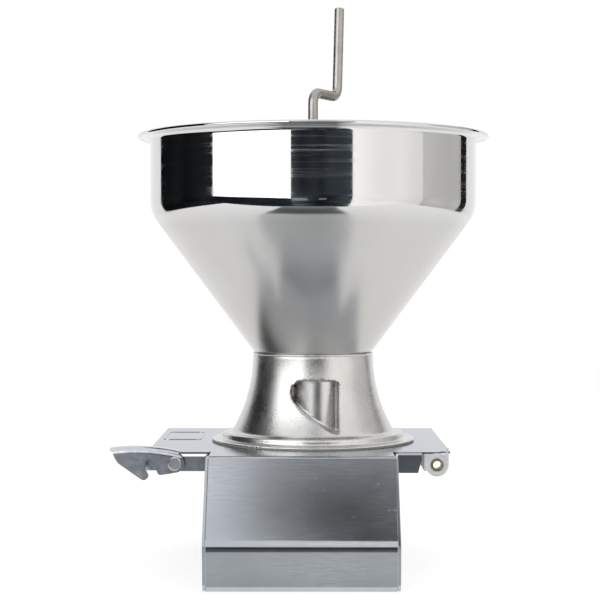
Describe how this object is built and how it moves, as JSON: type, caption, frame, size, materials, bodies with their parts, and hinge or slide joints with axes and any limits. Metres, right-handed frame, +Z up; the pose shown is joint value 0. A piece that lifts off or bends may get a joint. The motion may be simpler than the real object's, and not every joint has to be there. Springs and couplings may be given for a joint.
{
  "type": "hopper funnel",
  "caption": "Flared round hopper funnel on a cast neck and hinged, latched lid plate with a slanted discharge chute and a hand-cranked stirrer.",
  "frame": {"origin": "middle of the bounding box at the level of the chute's lower edge, on which the part stands", "axes": "+X to the hinge side, +Y to the rear, away from the slanted chute face, +Z up along the funnel axis"},
  "size_m": [0.2898, 0.2953, 0.4432],
  "materials": {
    "polished_stainless": "mirror polished",
    "nickel_plate": "bright plated, fine grain",
    "satin_sheet": "satin",
    "zinc_sheet": "satin zinc",
    "dull_zinc": "matte zinc",
    "satin_stainless": "satin",
    "spring_steel": "bright",
    "yellow_chromate": "satin chromate",
    "white_nylon": "matte",
    "gasket_rubber": "matte"
  },
  "bodies": {
    "hopper": {"hopper_bowl": "polished_stainless", "neck_casting": "nickel_plate", "neck_gasket": "gasket_rubber", "lid_plate": "satin_sheet", "left_side_panel": "satin_sheet", "right_side_panel": "satin_sheet", "rear_panel": "satin_sheet", "latch_arm": "zinc_sheet", "hinge_bracket": "dull_zinc", "hinge_bushes": "yellow_chromate", "latch_rivet": "nickel_plate", "latch_spacer": "zinc_sheet", "latch_spring": "spring_steel", "arm_rivets": "nickel_plate", "bearing_bridge": "nickel_plate", "bridge_bush": "white_nylon", "neck_screws": "nickel_plate", "neck_washers": "zinc_sheet", "neck_nuts": "zinc_sheet", "pillar_screw": "nickel_plate"},
    "latch": {"latch_lever": "zinc_sheet"},
    "stirrer": {"stirrer_rod": "satin_stainless", "shaft_collar": "satin_stainless", "collar_screw": "spring_steel", "thrust_washer": "white_nylon", "retaining_clip": "spring_steel", "stirrer_paddle": "satin_stainless", "paddle_pin": "spring_steel"}
  },
  "joints": [
    {"name": "stirrer_turn", "type": "hinge", "parent": "hopper", "child": "stirrer", "pos_m": [0.00535, 0.00815, 0.092], "axis": [0, 0, 1], "continuous": true},
    {"name": "latch_pivot", "type": "hinge", "parent": "hopper", "child": "latch", "pos_m": [-0.09675, -0.0891, 0.0851], "axis": [0, 1, 0], "range_deg": [0, 28], "stiffness_Nm_per_rad": 0.05, "springref_deg": -20.05}
  ]
}
